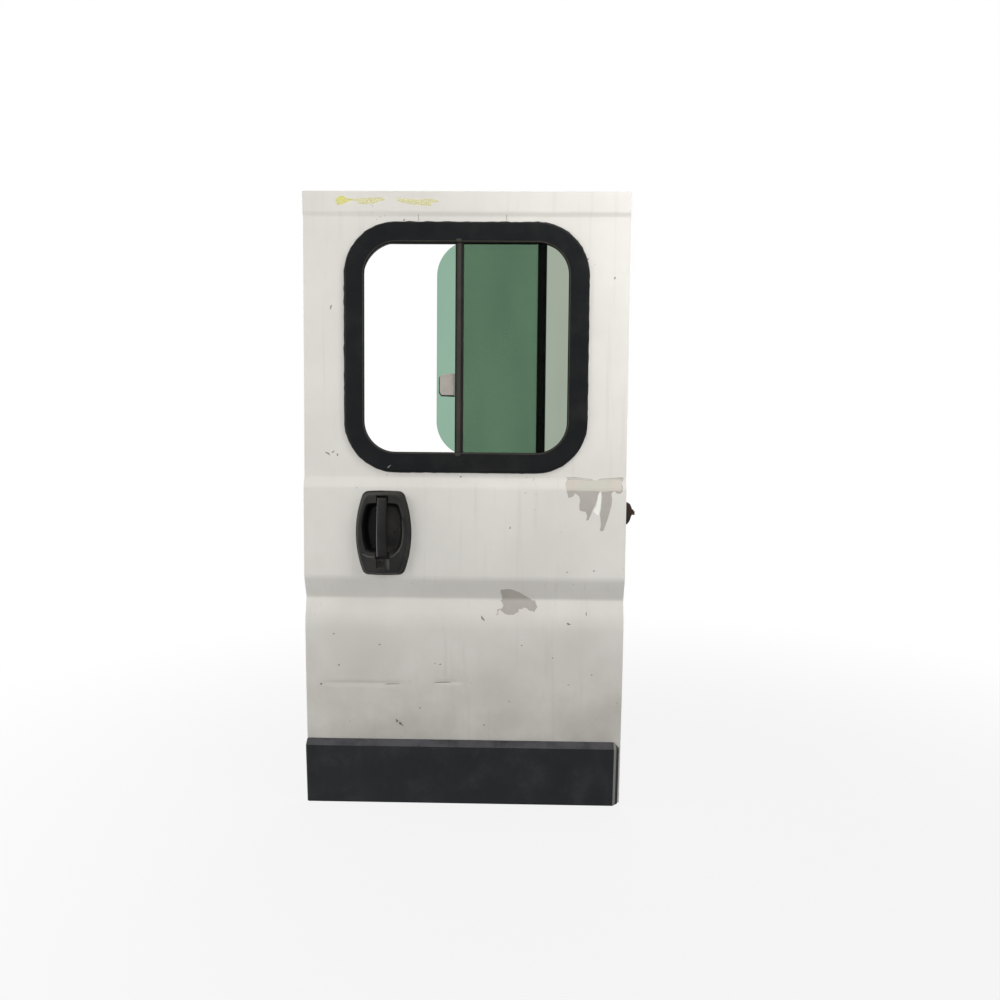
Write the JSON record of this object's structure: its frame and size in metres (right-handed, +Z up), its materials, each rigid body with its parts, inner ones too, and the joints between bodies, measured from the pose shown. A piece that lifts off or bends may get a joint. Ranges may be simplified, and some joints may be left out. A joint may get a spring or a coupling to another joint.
{
  "type": "rear barn door",
  "caption": "Van rear barn door leaf: pressed white skin with swages, framed sliding window, recessed pull handle, door check, black foot cladding and a boxed inner panel.",
  "frame": {"origin": "centre of the lower hinge seat, on the flat outer face of the lower hinge plate", "axes": "+X out of the hinge edge, away from the door; +Y into the vehicle, so the outside of the door faces -Y; +Z up"},
  "size_m": [0.821, 0.1029, 1.52],
  "materials": {
    "body_paint": "aged off-white gloss, chipped and peeling",
    "inner_paint": "off-white satin",
    "frame_black": "satin black",
    "green_glass": "green-tinted, dusty",
    "black_rubber": "matt",
    "grey_plastic": "faded grey",
    "black_plastic": "faded textured black",
    "lock_metal": "dulled",
    "plated_steel": "dull zinc plate with grease and rust"
  },
  "bodies": {
    "door": {"outer_skin": "body_paint", "inner_panel_lower": "inner_paint", "inner_panel_waist": "inner_paint", "inner_panel_upper": "inner_paint", "window_collar": "inner_paint", "closing_channel": "inner_paint", "hinge_channel": "inner_paint", "head_channel": "inner_paint", "sill_channel": "inner_paint", "skin_stiffener": "inner_paint", "hinge_plate_lower": "inner_paint", "hinge_plate_upper": "inner_paint", "window_frame": "frame_black", "window_clamp_ring": "frame_black", "mullion": "frame_black", "sliding_glass_bar": "frame_black", "slide_track_top": "frame_black", "slide_track_bottom": "frame_black", "fixed_glass": "green_glass", "sliding_glass": "green_glass", "glass_gasket": "black_rubber", "blanking_plugs": "black_rubber", "window_latch": "grey_plastic", "window_latch_grip": "black_plastic", "handle_bezel": "black_plastic", "lower_cladding": "black_plastic", "release_cup": "black_plastic", "release_paddle": "black_plastic", "lock_barrel": "lock_metal", "handle_pin": "lock_metal", "latch_case": "plated_steel", "latch_bolt": "plated_steel", "latch_rods": "plated_steel", "end_bolts": "plated_steel", "bolt_guides": "plated_steel", "check_box": "plated_steel"},
    "lever": {"handle_lever": "black_plastic"},
    "check": {"check_strap": "plated_steel", "check_buffer": "black_rubber"}
  },
  "joints": [
    {"name": "lever_pivot", "type": "hinge", "parent": "door", "child": "lever", "pos_m": [-0.5823, -0.0553, 0.5078], "axis": [-1, 0, 0], "range_deg": [0, 30], "stiffness_Nm_per_rad": 1.5, "springref_deg": -20.05},
    {"name": "check_slide", "type": "slide", "parent": "door", "child": "check", "axis": [1, 0, 0], "range_m": [0, 0.068]}
  ]
}
